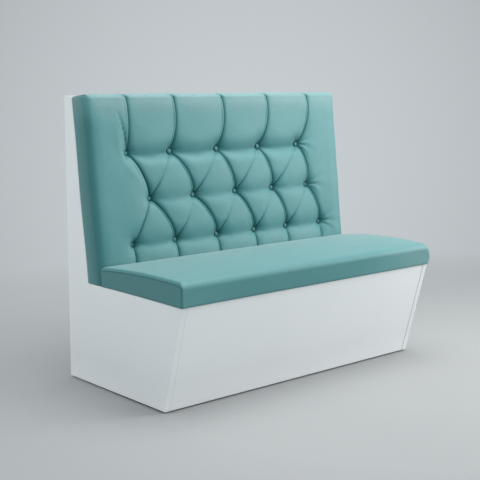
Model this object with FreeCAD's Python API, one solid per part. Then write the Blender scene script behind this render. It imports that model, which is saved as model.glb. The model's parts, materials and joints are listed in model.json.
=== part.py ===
import FreeCAD, Part

import math
import os

from FreeCAD import Placement, Rotation, Vector

# A free-standing restaurant banquette for two people. A white laminated carcass of two
# L-shaped end panels, a raked front panel, a rear panel and a top cap carries a loose
# seat pad and a deep-buttoned back pad. Lengths are millimetres. X runs along the seat,
# Y points to the wall behind it, Z is up. The origin is on the floor, at the middle of
# the overall footprint. A depth is measured forward from the rear face of the carcass.

# Overall form of the carcass
carcass_length = 1240.0
carcass_height = 1040.0
ledge_height = 375.0
floor_gap = 6.0
base_depth = 580.0
ledge_depth = 678.0
back_foot_depth = 132.0
back_head_depth = 53.0

# Boards
end_panel_thickness = 22.0
front_panel_thickness = 18.0
rear_panel_thickness = 16.0
top_cap_thickness = 18.0
deck_thickness = 18.0
rib_thickness = 18.0
board_edge_radius = 1.2
panel_joint_gap = 0.8

# Timber rails, housed in shallow pockets of the end panels
rail_width = 45.0
rail_height = 45.0
rail_housing = 6.0
floor_rail_level = 26.0
notch_fit = 0.5

# Split battens that hang the back pad, and the planks that carry them
cleat_cavity = 18.0
cleat_thickness = 17.0
cleat_length = 1100.0
cleat_height = 48.0
cleat_hang_fit = 0.4
cleat_below_level = 34.0
cleat_toggle_gap = 17.0
cleat_top_gap = 61.0
plank_thickness = 18.0
plank_height = 90.0

# Both pads
pad_overhang = 6.0
pad_fit = 0.4
hem_thickness = 1.6
hem_width = 32.0
cover_wall = 6.0
overrun = 12.0
match_tolerance = 0.01

# Seat pad
seat_front_thickness = 84.0
seat_rear_thickness = 70.0
seat_crown = 10.0
seat_front_radius = 30.0
seat_rear_radius = 16.0
seat_end_radius = 12.0
seat_corner_radius = 14.0
seat_draw_in = 4.0
seat_board_thickness = 15.0
seat_back_fit = 0.8

# Pegs that keep the seat pad in place on the deck
peg_radius = 8.0
peg_reach = 20.0
peg_in_board = 8.0
peg_hole_fit = 1.0
peg_inset = 180.0
peg_depth = 440.0

# Back pad
back_thickness = 86.0
back_board_thickness = 12.0
back_foam_thickness = 31.0
back_front_radius = 20.0
back_corner_radius = 21.0
back_draw_in = 4.0

# Buttoning of the back pad: how far up the pad each row of buttons is, and how far along
# it each button and each pleat that runs out over the top edge is
button_level_shares = (0.681, 0.426, 0.184)
button_place_shares = (
    (0.140, 0.300, 0.484, 0.658, 0.831),
    (0.211, 0.376, 0.546, 0.705, 0.862),
    (0.135, 0.293, 0.458, 0.615, 0.756, 0.912),
)
top_pleat_place_shares = (0.139, 0.323, 0.510, 0.692, 0.887)
tuft_depth = 37.0
tuft_reach = 72.0
tuft_steps = 2
pleat_depth = 20.0
slack_pleat_depth = 13.0
end_pleat_depth = 8.0
pleat_reach = 76.0
pleat_rim_rise = 0.5

# Covered buttons, and the flat ties that run from them to toggles on the rear of the board
button_radius = 10.0
button_height = 7.0
button_shoulder = 2.5
button_seat_fit = 0.6
button_rest_fit = 0.3
tie_width = 4.0
tie_thickness = 1.0
tie_slit_fit = 0.4
tie_tail = 2.0
toggle_length = 26.0
toggle_height = 8.0
toggle_thickness = 3.0

# Levelling feet, and the timber blocks that they screw up into
foot_across = 32.0
foot_base_height = 4.0
foot_stem_radius = 4.0
foot_stem_length = 46.0
foot_thread_fit = 0.05
foot_inset = 26.0
front_foot_depth = 488.0
rear_foot_depth = 100.0
foot_block_width = 50.0
foot_block_depth = 60.0
foot_block_height = 45.0
foot_block_level = 14.0

# Worked out from the sizes above
half_length = carcass_length / 2
half_inside = half_length - end_panel_thickness
rear_y = (ledge_depth + pad_overhang) / 2
deck_underside = ledge_height - deck_thickness
front_rake = math.atan((ledge_depth - base_depth) / (ledge_height - floor_gap))
back_lean = math.atan((back_foot_depth - back_head_depth) / (carcass_height - ledge_height))
front_panel_run = front_panel_thickness / math.cos(front_rake)
pad_half_length = half_length + pad_overhang
back_pad_height = (carcass_height - ledge_height) / math.cos(back_lean)
cleat_reach = cleat_hang_fit + cleat_height
middle_toggle_bottom = button_level_shares[1] * back_pad_height - toggle_height / 2
lower_cleat_level = middle_toggle_bottom - cleat_toggle_gap - cleat_reach
upper_cleat_level = back_pad_height - cleat_top_gap - cleat_reach
back_board_rear = -pad_fit - hem_thickness
back_foam_rear = back_board_rear - back_board_thickness
back_foam_front = back_foam_rear - back_foam_thickness
back_front = -pad_fit - back_thickness
tuft_floor = back_front + tuft_depth
seat_bottom = ledge_height + pad_fit
seat_board_underside = seat_bottom + hem_thickness
diagonal_share = 1 - math.sqrt(0.5)


# Shared helpers


def point(x, depth, z):
    return Vector(x, rear_y - depth, z)


def bar(corners, x_from, x_to):
    """A straight bar along X whose section has the given (depth, height) corners."""
    ring = [point(x_from, depth, z) for depth, z in corners]
    face = Part.Face(Part.makePolygon(ring + ring[:1]))
    return face.extrude(Vector(x_to - x_from, 0, 0))


def pad_bar(corners, x_half):
    """A bar along X from (y, z) corners, in the upright pose of the back pad."""
    ring = [Vector(-x_half, y, z) for y, z in corners]
    face = Part.Face(Part.makePolygon(ring + ring[:1]))
    return face.extrude(Vector(2 * x_half, 0, 0))


def on_slope(shape):
    """Leans a shape made upright, with its back on Y = 0, against the raked backs."""
    placed = shape.copy()
    foot = point(0, back_foot_depth, ledge_height)
    placed.Placement = Placement(foot, Rotation(Vector(1, 0, 0), -math.degrees(back_lean)))
    return placed


def box_between(low, high):
    size = high - low
    return Part.makeBox(size.x, size.y, size.z, low)


def rod(radius, start, end):
    run = end - start
    return Part.makeCylinder(radius, run.Length, start, run)


def front_depth_at(z):
    """Depth of the raked front face of the carcass at a height."""
    return base_depth + (z - floor_gap) * math.tan(front_rake)


def behind_front_at(z):
    """Depth of the inner face of the front panel at a height."""
    return front_depth_at(z) - front_panel_run


def back_depth_at(z):
    """Depth, at a height, of the raked edge that the back pad leans on."""
    return back_foot_depth - (z - ledge_height) * math.tan(back_lean)


def closed_face(edges):
    return Part.Face(Part.Wire(Part.__sortEdges__([e.toShape() for e in edges])))


# Rails and planks


def front_rail_corners(level):
    """A rail whose front is bevelled to lie flat against the raked front panel."""
    top = level + rail_height
    rear = behind_front_at(level) - rail_width
    return [(behind_front_at(level), level), (behind_front_at(top), top), (rear, top), (rear, level)]


def rear_rail_corners(depth, level):
    top = level + rail_height
    return [(depth, level), (depth + rail_width, level), (depth + rail_width, top), (depth, top)]


rail_sections = {
    "floor_rail_front": front_rail_corners(floor_rail_level),
    "floor_rail_rear": rear_rail_corners(rear_panel_thickness, floor_rail_level),
    "seat_rail_front": front_rail_corners(deck_underside - rail_height),
    "seat_rail_rear": rear_rail_corners(back_foot_depth, deck_underside - rail_height),
}
plank_levels = {"back_plank_lower": lower_cleat_level, "back_plank_upper": upper_cleat_level}


def plank_solid(level, x_half, grown=0.0):
    """The plank behind a split batten. Grown, it is the notch that clears the plank."""
    low = Vector(-x_half, cleat_cavity - grown, level - plank_height / 2 - grown)
    high = Vector(x_half, cleat_cavity + plank_thickness + grown, level + plank_height / 2 + grown)
    return on_slope(box_between(low, high))


def housed_timber():
    """Every rail and plank, as long as it is with its ends in the end panels."""
    reach = half_inside + rail_housing
    timber = {name: bar(corners, -reach, reach) for name, corners in rail_sections.items()}
    timber.update({name: plank_solid(level, reach) for name, level in plank_levels.items()})
    return timber


# Carcass boards


def end_panel(side):
    """One L-shaped end panel, eased along the edges of its outer face."""
    corners = [
        (0, floor_gap),
        (base_depth, floor_gap),
        (ledge_depth, ledge_height),
        (back_foot_depth, ledge_height),
        (back_head_depth, carcass_height),
        (0, carcass_height),
    ]
    board = bar(corners, side * half_inside, side * half_length)
    outer_x = side * half_length
    outer = [e for e in board.Edges if all(abs(v.X - outer_x) < match_tolerance for v in e.Vertexes)]
    return board.makeFillet(board_edge_radius, outer).cut(list(housed_timber().values()))


def front_panel():
    bottom, top = floor_gap, ledge_height
    corners = [
        (front_depth_at(bottom), bottom),
        (front_depth_at(top), top),
        (behind_front_at(top), top),
        (behind_front_at(bottom), bottom),
    ]
    reach = half_inside - panel_joint_gap
    return bar(corners, -reach, reach)


def rear_panel():
    top = carcass_height - top_cap_thickness
    corners = [(0, floor_gap), (rear_panel_thickness, floor_gap), (rear_panel_thickness, top), (0, top)]
    return bar(corners, -half_inside, half_inside)


def top_cap():
    bottom, top = carcass_height - top_cap_thickness, carcass_height
    corners = [(0, bottom), (back_depth_at(bottom), bottom), (back_depth_at(top), top), (0, top)]
    return bar(corners, -half_inside, half_inside)


def seat_deck():
    bottom, top = deck_underside, ledge_height
    corners = [
        (behind_front_at(bottom), bottom),
        (behind_front_at(top), top),
        (back_foot_depth, top),
        (back_foot_depth, bottom),
    ]
    return bar(corners, -half_inside, half_inside).cut(peg_set(peg_hole_fit, overrun))


def grown_section(corners):
    """A rail's section pushed out on all sides by the notch's clearance."""
    ring = [point(-rib_thickness, depth, z) for depth, z in corners]
    return Part.Face(Part.makePolygon(ring + ring[:1])).makeOffset2D(notch_fit, 2)


def centre_rib():
    """The L-shaped rib under the middle of the deck, notched over every rail."""
    setback = cleat_cavity / math.cos(back_lean)
    cap_underside = carcass_height - top_cap_thickness
    corners = [
        (rear_panel_thickness, floor_gap),
        (behind_front_at(floor_gap), floor_gap),
        (behind_front_at(deck_underside), deck_underside),
        (back_depth_at(deck_underside) - setback, deck_underside),
        (back_depth_at(cap_underside) - setback, cap_underside),
        (rear_panel_thickness, cap_underside),
    ]
    rib = bar(corners, -rib_thickness / 2, rib_thickness / 2)
    notches = [plank_solid(level, rib_thickness, notch_fit) for level in plank_levels.values()]
    for section in rail_sections.values():
        notches.append(grown_section(section).extrude(Vector(2 * rib_thickness, 0, 0)))
    return rib.cut(notches)


# Split battens


def carcass_cleat(level):
    """The batten fixed to a plank, its top bevelled to make the hook."""
    front = cleat_cavity - cleat_thickness
    low = level - cleat_below_level
    corners = [
        (cleat_cavity, low),
        (cleat_cavity, level),
        (front, level + cleat_thickness),
        (front, low),
    ]
    return on_slope(pad_bar(corners, cleat_length / 2))


def pad_cleat(level):
    """The batten on the rear of the back pad, which drops behind the carcass batten."""
    rear = back_board_rear + cleat_thickness
    hang = level + cleat_hang_fit + cleat_cavity
    top = level + cleat_reach
    corners = [
        (back_board_rear, hang - back_board_rear),
        (rear, hang - rear),
        (rear, top),
        (back_board_rear, top),
    ]
    return on_slope(pad_bar(corners, cleat_length / 2))


# Pegs under the seat pad


def peg_set(fit, extra):
    """The two pegs under the seat board, or with a fit the holes that they drop into."""
    pegs = []
    for x in (peg_inset - half_length, half_length - peg_inset):
        top = point(x, peg_depth, seat_board_underside + peg_in_board)
        bottom = point(x, peg_depth, ledge_height - peg_reach - extra)
        pegs.append(rod(peg_radius + fit, bottom, top))
    return pegs


# Seat pad


def back_front_depth_at(z):
    """Depth of the front plane of the back pad at a height."""
    return back_depth_at(z) - back_front / math.cos(back_lean)


def seat_section(x, drop):
    """The side view of the seat pad at one place along it, its top lowered by a drop."""
    front = ledge_depth + pad_overhang
    front_top = seat_bottom + seat_front_thickness - drop
    rear_top = seat_bottom + seat_rear_thickness - drop
    crown = seat_crown * (1 - (x / pad_half_length) ** 2) + seat_draw_in
    low = rear_top - seat_rear_radius
    rear = back_front_depth_at(rear_top) + seat_back_fit
    turn = diagonal_share * seat_front_radius
    rear_turn = diagonal_share * seat_rear_radius
    front_low = point(x, front, front_top - seat_front_radius)
    front_middle = point(x, front - turn, front_top - turn)
    top_front = point(x, front - seat_front_radius, front_top)
    top_rear = point(x, rear + seat_rear_radius, rear_top)
    rear_middle = point(x, rear + rear_turn, rear_top - rear_turn)
    rear_low = point(x, back_front_depth_at(low) + seat_back_fit, low)
    bottom_rear = point(x, back_front_depth_at(seat_bottom) + seat_back_fit, seat_bottom)
    bottom_front = point(x, front, seat_bottom)
    summit = (top_front + top_rear) / 2 + Vector(0, 0, crown)
    edges = [
        Part.Arc(front_low, front_middle, top_front),
        Part.Arc(top_front, summit, top_rear),
        Part.Arc(top_rear, rear_middle, rear_low),
        Part.LineSegment(rear_low, bottom_rear),
        Part.LineSegment(bottom_rear, bottom_front),
        Part.LineSegment(bottom_front, front_low),
    ]
    return Part.Wire([e.toShape() for e in edges])


def seat_plan():
    """A tall prism with the plan of the pad: rounded front corners and drawn-in ends."""
    half = pad_half_length
    front = ledge_depth + pad_overhang
    radius = seat_corner_radius
    side_front = front - radius
    rear = back_foot_depth
    bottom = ledge_height - overrun
    slack = diagonal_share * radius
    edges = []
    for side in (-1, 1):
        corner = point(side * half, side_front, bottom)
        waist = point(side * (half - seat_draw_in), (side_front + rear) / 2, bottom)
        turn = point(side * (half - slack), front - slack, bottom)
        edges.append(Part.Arc(corner, waist, point(side * half, rear, bottom)))
        edges.append(Part.Arc(corner, turn, point(side * (half - radius), front, bottom)))
    edges.append(Part.LineSegment(point(radius - half, front, bottom), point(half - radius, front, bottom)))
    edges.append(Part.LineSegment(point(-half, rear, bottom), point(half, rear, bottom)))
    return closed_face(edges).extrude(Vector(0, 0, carcass_height))


def seat_form():
    """The outer form of the seat pad, crowned, and rounded over at both ends."""
    turn = diagonal_share * seat_end_radius
    half = [
        (pad_half_length, seat_end_radius),
        (pad_half_length - turn, turn),
        (pad_half_length - seat_end_radius, 0),
        (pad_half_length / 2, 0),
    ]
    stations = [(-x, drop) for x, drop in half] + [(0, 0)] + half[::-1]
    loft = Part.makeLoft([seat_section(x, drop) for x, drop in stations], True, True)
    return loft.common(seat_plan()).Solids[0]


def seat_space(bottom, top):
    """The space inside the seat cover between two heights, bevelled under its edges."""
    front = ledge_depth + pad_overhang - cover_wall
    front_top = seat_bottom + seat_front_thickness - cover_wall
    rear_top = seat_bottom + seat_rear_thickness - cover_wall
    front_bevel = seat_front_radius - cover_wall
    rear_bevel = seat_rear_radius - cover_wall

    def rear(z):
        return back_front_depth_at(z) + seat_back_fit + cover_wall

    corners = [
        (rear(seat_bottom), seat_bottom),
        (front, seat_bottom),
        (front, front_top - front_bevel),
        (front - front_bevel, front_top),
        (rear(rear_top) + rear_bevel, rear_top),
        (rear(rear_top - rear_bevel), rear_top - rear_bevel),
    ]
    half = pad_half_length - seat_draw_in - cover_wall
    return below(above(bar(corners, -half, half), bottom), top)


def above(shape, z):
    """The part of a shape above a height."""
    low = Vector(-carcass_length, -carcass_length, z)
    return shape.common(box_between(low, low + Vector(1, 1, 1) * (2 * carcass_length)))


def below(shape, z):
    """The part of a shape below a height."""
    high = Vector(carcass_length, carcass_length, z)
    return shape.common(box_between(high - Vector(1, 1, 1) * (2 * carcass_length), high))


def hem_opening():
    """The space inside the turned-in hem under the seat pad."""
    low = point(-pad_half_length + hem_width, ledge_depth + pad_overhang - hem_width, seat_bottom - overrun)
    rear = back_front_depth_at(seat_bottom) + hem_width
    high = point(pad_half_length - hem_width, rear, seat_board_underside)
    return box_between(low, high)


def seat_pieces():
    foam_underside = seat_board_underside + seat_board_thickness
    board = seat_space(seat_board_underside, foam_underside)
    foam = seat_space(foam_underside, carcass_height)
    return {
        "seat_cover": seat_form().cut([board, foam, hem_opening()]),
        "seat_foam": foam,
        "seat_board": board.cut(peg_set(0, 0)),
    }


# Back pad, made upright with its rear face towards Y = 0


def back_outline(y):
    """The pad seen from the front: ends drawn in, top corners rounded."""
    half = pad_half_length
    top = back_pad_height
    radius = back_corner_radius
    slack = diagonal_share * radius
    bottom = -back_thickness
    middle = (top + bottom) / 2
    edges = []
    for side in (-1, 1):
        shoulder = Vector(side * half, y, top - radius)
        waist = Vector(side * (half - back_draw_in), y, middle)
        turn = Vector(side * (half - slack), y, top - slack)
        edges.append(Part.Arc(Vector(side * half, y, bottom), waist, shoulder))
        edges.append(Part.Arc(shoulder, turn, Vector(side * (half - radius), y, top)))
    edges.append(Part.LineSegment(Vector(radius - half, y, top), Vector(half - radius, y, top)))
    edges.append(Part.LineSegment(Vector(-half, y, bottom), Vector(half, y, bottom)))
    return closed_face(edges)


def plain_back():
    """The pad before it is buttoned, its front edges rolled over."""
    block = back_outline(-pad_fit).extrude(Vector(0, -back_thickness, 0))
    front = [
        e
        for e in block.Edges
        if all(abs(v.Y - back_front) < match_tolerance for v in e.Vertexes) and e.CenterOfMass.z > 0
    ]
    return block.makeFillet(back_front_radius, front)


def pad_place(place_share, level):
    return Vector((2 * place_share - 1) * pad_half_length, back_front, level)


button_rows = [
    [pad_place(share, level_share * back_pad_height) for share in place_shares]
    for level_share, place_shares in zip(button_level_shares, button_place_shares)
]
buttons = [place for row in button_rows for place in row]


def tuft_cutter(place):
    """The funnel that a button pulls into the front, its flank swelling outwards."""
    neck = button_radius + button_seat_fit
    run = tuft_reach - neck
    drop = tuft_depth + pleat_rim_rise
    swell = (run**2 + drop**2) / (2 * drop)
    turn = math.atan2(run, swell - drop)

    def rim(radius, depth):
        return place + Vector(radius, depth, 0)

    ring = [rim(0, -pleat_rim_rise - overrun), rim(tuft_reach, -pleat_rim_rise - overrun)]
    for step in range(tuft_steps + 1):
        angle = turn * step / tuft_steps
        depth = swell * (1 - math.cos(angle)) - pleat_rim_rise
        ring.append(rim(tuft_reach - swell * math.sin(angle), depth))
    ring.append(rim(0, tuft_depth))
    face = Part.Face(Part.makePolygon(ring + ring[:1]))
    return face.revolve(place, Vector(0, 1, 0), 360)


def pleat_cutter(start, end):
    """The fold between two points of its root: a groove with flanks that swell out."""
    run = end - start
    along = run / run.Length
    outward = Vector(0, -1, 0) - along * -along.y
    outward.normalize()
    across = along.cross(outward)
    height = pleat_depth + pleat_rim_rise
    swell = (pleat_reach**2 + height**2) / (2 * height)
    turn = math.atan2(pleat_reach, swell - height) / 2

    def at(offset, rise):
        return start + across * offset + outward * rise

    edges = []
    for side in (-1, 1):
        lip = at(side * pleat_reach, height)
        mid_offset = pleat_reach - swell * math.sin(turn)
        middle = at(side * mid_offset, height - swell * (1 - math.cos(turn)))
        edges.append(Part.Arc(start, middle, lip))
        edges.append(Part.LineSegment(lip, at(side * pleat_reach, height + overrun)))
    edges.append(Part.LineSegment(at(-pleat_reach, height + overrun), at(pleat_reach, height + overrun)))
    return closed_face(edges).extrude(run)


def sunk(place, depth):
    return place + Vector(0, depth, 0)


def pleat_cutters():
    """The folds of the diamond buttoning, and those that run out over top and bottom."""
    upper, middle, lower = button_rows
    cutters = []
    for share, button in zip(top_pleat_place_shares, upper):
        edge = pad_place(share, back_pad_height + overrun)
        cutters.append(pleat_cutter(sunk(button, pleat_depth), sunk(edge, end_pleat_depth)))
    for i, button in enumerate(middle):
        strong = (upper[i], lower[i + 1])
        slack = (lower[i], *upper[i + 1 : i + 2])
        for other in strong:
            cutters.append(pleat_cutter(sunk(button, pleat_depth), sunk(other, pleat_depth)))
        for other in slack:
            cutters.append(pleat_cutter(sunk(button, slack_pleat_depth), sunk(other, slack_pleat_depth)))
    for button in lower:
        edge = Vector(button.x, button.y, -back_thickness)
        cutters.append(pleat_cutter(sunk(button, pleat_depth), sunk(edge, pleat_depth)))
    return cutters


def tufted_back():
    body = plain_back()
    for cutter in [tuft_cutter(place) for place in buttons] + pleat_cutters():
        body = body.cut(cutter)
    return body


def back_block(y_from, y_to, inset):
    """A slab of the pad's inside, held back from its outline by the inset."""
    half = pad_half_length - back_draw_in - inset
    return box_between(Vector(-half, y_to, -back_thickness), Vector(half, y_from, back_pad_height - inset))


def tie_box(place, grown):
    """The run of a flat tie through the pad. Grown, it is the slit that clears it."""
    half_width = tie_width / 2 + grown
    half_thickness = tie_thickness / 2 + grown
    front = tuft_floor - button_rest_fit
    rear = back_board_rear + toggle_thickness + tie_tail
    low = Vector(place.x - half_thickness, front, place.z - half_width)
    return box_between(low, Vector(place.x + half_thickness, rear, place.z + half_width))


def tie_slits():
    return [tie_box(place, tie_slit_fit) for place in buttons]


def on_deck(shape):
    """Leans a slab of the pad back and trims it level, just clear of the deck."""
    return above(on_slope(shape), seat_bottom).Solids[0]


def hem_window():
    """The opening that the turned-in hem leaves on the rear of the pad."""
    half = pad_half_length - hem_width
    low = Vector(-half, back_board_rear, hem_width)
    return box_between(low, Vector(half, overrun, back_pad_height - hem_width))


def back_pieces():
    slits = tie_slits()
    inside = back_block(back_board_rear, back_foam_front, cover_wall)
    cover = tufted_back().cut([inside, hem_window()]).cut(slits)
    foam = back_block(back_foam_rear, back_foam_front, cover_wall).cut(slits)
    board = back_block(back_board_rear, back_foam_rear, cover_wall).cut(slits)
    return {
        "back_cover": on_deck(cover),
        "back_foam": on_deck(foam),
        "back_board": on_deck(board),
    }


# Buttons, their ties and the toggles that the ties end on


def button_solid(place):
    """A covered button, round, with a face that slopes in to a flat crown."""
    rear = Vector(place.x, tuft_floor - button_rest_fit, place.z)
    crown_radius = button_radius - button_shoulder
    return Part.makeCone(button_radius, crown_radius, button_height, rear, Vector(0, -1, 0))


def toggle_solid(place):
    """The short bar across the tie's slit, that the tie is drawn tight on."""
    rear = back_board_rear + toggle_thickness
    low = Vector(place.x - toggle_length / 2, back_board_rear, place.z - toggle_height / 2)
    bar_solid = box_between(low, Vector(place.x + toggle_length / 2, rear, place.z + toggle_height / 2))
    return bar_solid.cut(tie_box(place, tie_slit_fit))


def tie_solid(place):
    return tie_box(place, 0)


def at_buttons(make):
    return on_slope(Part.makeCompound([make(place) for place in buttons]))


# Levelling feet, and the blocks that they screw up into


def foot_places():
    """For each foot: its side of the bench, and the point on the floor under its stem."""
    x = half_inside - foot_inset
    depths = (front_foot_depth, rear_foot_depth)
    return [(side, point(side * x, depth, 0)) for side in (-1, 1) for depth in depths]


def foot_solid(place):
    """A hexagonal foot, and the threaded stem that stands on it."""
    corner = foot_across / math.sqrt(3)
    turns = [math.pi * i / 3 for i in range(6)]
    ring = [place + Vector(corner * math.cos(t), corner * math.sin(t), 0) for t in turns]
    base = Part.Face(Part.makePolygon(ring + ring[:1])).extrude(Vector(0, 0, foot_base_height))
    top = place + Vector(0, 0, foot_base_height)
    return base.fuse(rod(foot_stem_radius, top, top + Vector(0, 0, foot_stem_length)))


def foot_block(side, place):
    """A timber block glued into the foot of an end panel, bored for the stem."""
    outer = side * half_inside
    inner = outer - side * foot_block_width
    half_depth = foot_block_depth / 2
    low = Vector(min(outer, inner), place.y - half_depth, foot_block_level)
    high = Vector(max(outer, inner), place.y + half_depth, foot_block_level + foot_block_height)
    stem = rod(foot_stem_radius + foot_thread_fit, place, place + Vector(0, 0, high.z + overrun))
    return box_between(low, high).cut(stem)


# All pieces by name


def carcass_pieces():
    pieces = {
        "end_panel_left": end_panel(-1),
        "end_panel_right": end_panel(1),
        "front_panel": front_panel(),
        "rear_panel": rear_panel(),
        "top_cap": top_cap(),
        "seat_deck": seat_deck(),
        "centre_rib": centre_rib(),
        "back_cleat_lower": carcass_cleat(lower_cleat_level),
        "back_cleat_upper": carcass_cleat(upper_cleat_level),
        "foot_blocks": Part.makeCompound([foot_block(*place) for place in foot_places()]),
    }
    pieces.update(housed_timber())
    return pieces


def pad_pieces():
    pieces = {
        "seat_pegs": Part.makeCompound(peg_set(0, 0)),
        "pad_cleat_lower": pad_cleat(lower_cleat_level),
        "pad_cleat_upper": pad_cleat(upper_cleat_level),
        "back_buttons": at_buttons(button_solid),
        "button_ties": at_buttons(tie_solid),
        "tie_toggles": at_buttons(toggle_solid),
    }
    pieces.update(seat_pieces())
    pieces.update(back_pieces())
    return pieces


def foot_pieces():
    names = ("foot_front_left", "foot_rear_left", "foot_front_right", "foot_rear_right")
    return {name: foot_solid(place) for name, (side, place) in zip(names, foot_places())}


os.makedirs("parts", exist_ok=True)
for name, shape in {**carcass_pieces(), **pad_pieces(), **foot_pieces()}.items():
    shape.exportStep(os.path.join("parts", name + ".step"))
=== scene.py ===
import json
import math

import bmesh
import bpy
import numpy as np
from mathutils import Matrix, Vector


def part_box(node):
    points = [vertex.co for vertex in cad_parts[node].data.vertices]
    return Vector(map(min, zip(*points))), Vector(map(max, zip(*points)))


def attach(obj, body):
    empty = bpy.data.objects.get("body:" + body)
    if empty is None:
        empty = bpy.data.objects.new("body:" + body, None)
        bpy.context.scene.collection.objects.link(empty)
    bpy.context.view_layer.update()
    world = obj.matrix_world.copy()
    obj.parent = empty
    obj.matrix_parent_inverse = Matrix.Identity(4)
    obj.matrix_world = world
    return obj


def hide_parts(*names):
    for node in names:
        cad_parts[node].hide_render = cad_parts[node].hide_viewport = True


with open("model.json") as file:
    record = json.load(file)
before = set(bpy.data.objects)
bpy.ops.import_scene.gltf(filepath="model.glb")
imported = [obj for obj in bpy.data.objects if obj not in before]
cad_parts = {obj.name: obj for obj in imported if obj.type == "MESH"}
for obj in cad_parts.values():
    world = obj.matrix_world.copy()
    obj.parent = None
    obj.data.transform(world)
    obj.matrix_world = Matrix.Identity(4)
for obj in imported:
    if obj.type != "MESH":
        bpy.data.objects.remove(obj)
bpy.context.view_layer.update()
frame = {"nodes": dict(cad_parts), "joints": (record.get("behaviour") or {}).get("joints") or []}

# A restaurant banquette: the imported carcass, with its two vinyl pads, the buttons and the
# small fixings made here in full. All lengths are metres. X runs along the seat, Y points
# to the wall behind it, Z is up. The back pad is described by three coordinates of its
# own: along X, out from the slope that it leans on, and up that slope.

nodes = frame["nodes"]
scene = bpy.context.scene

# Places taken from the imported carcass

deck_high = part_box("seat_deck")[1]
slope_foot = Vector((0, deck_high.y, deck_high.z))
unhook = next(j for j in frame["joints"] if j["name"] == "back_pad_unhook")
up_slope = Vector(unhook["axis"]).normalized()
off_slope = Vector((0, -up_slope.z, up_slope.y))
along = Vector((1, 0, 0))
lean = up_slope.y / up_slope.z
seat_low, seat_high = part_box("seat_cover")
half_pad = seat_high.x
right_end = half_pad + 0.004
hem, wall = 0.032, 0.006


def leaned(x, out, rise):
    """A point of the back pad: along the seat, out from its slope, up its slope."""
    return slope_foot + along * x + off_slope * out + up_slope * rise


def upright(place):
    """The same three coordinates, read from a point of the room."""
    run = place - slope_foot
    return Vector((run.x, run.dot(off_slope), run.dot(up_slope)))


def button_middles():
    """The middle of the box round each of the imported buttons, in the pad's coordinates."""
    groups = []
    for vert in nodes["back_buttons"].data.vertices:
        near = [group for group in groups if (group[0] - vert.co).length < button_gap]
        if near:
            near[0].append(vert.co)
        else:
            groups.append([vert.co])
    boxes = [(np.min(group, axis=0), np.max(group, axis=0)) for group in groups]
    return [upright(Vector((low + high) / 2)) for low, high in boxes]


button_gap, row_gap = 0.05, 0.01
found = button_middles()
levels = sorted({round(place.z, 3) for place in found}, reverse=True)
button_rows = [
    sorted((p for p in found if abs(p.z - level) < row_gap), key=lambda p: p.x)
    for level in levels
]
button_places = sum(button_rows, [])
upper, middle, lower = button_rows


# Nodes and finishes


def sums(operation, turned=False):
    """What an operator between two values does: it adds a Math node."""
    return lambda one, two: one.maths(operation, *((two, one) if turned else (one, two)))


class Shade:
    """A number or colour inside a finish. Sums written on it become Math nodes."""

    def __init__(self, recipe, socket):
        self.recipe, self.socket = recipe, socket

    def maths(self, operation, *values):
        settings = {"operation": operation}
        return self.recipe.node("ShaderNodeMath", settings, dict(enumerate(values)))

    __add__ = __radd__ = sums("ADD")
    __sub__, __rsub__ = sums("SUBTRACT"), sums("SUBTRACT", turned=True)
    __mul__ = __rmul__ = sums("MULTIPLY")
    __pow__ = sums("POWER")

    def clamped(self):
        return self.maths("MINIMUM", self.maths("MAXIMUM", self, 0.0), 1.0)


class Recipe:
    """The nodes of a finish or of the backdrop."""

    def __init__(self, tree):
        self.tree = tree

    def node(self, kind, settings, inputs, output=0):
        """Adds a node: its settings first, then the values or links of its sockets."""
        made = self.tree.nodes.new(kind)
        for name, setting in settings.items():
            if name == "stops":
                ramp = made.color_ramp
                while len(ramp.elements) < len(setting):
                    ramp.elements.new(1.0)
                for element, (place, shade) in zip(ramp.elements, setting):
                    element.position = place
                    element.color = colour(shade, shade, shade)
            else:
                setattr(made, name, setting)
        for name, given in inputs.items():
            if isinstance(given, Shade):
                self.tree.links.new(given.socket, made.inputs[name])
            else:
                made.inputs[name].default_value = given
        return Shade(self, made.outputs[output])

    def vectors(self, operation, first, second):
        """A number worked out from two places or two directions."""
        inputs = {0: first, 1: second}
        return self.node("ShaderNodeVectorMath", {"operation": operation}, inputs, "Value")


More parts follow.
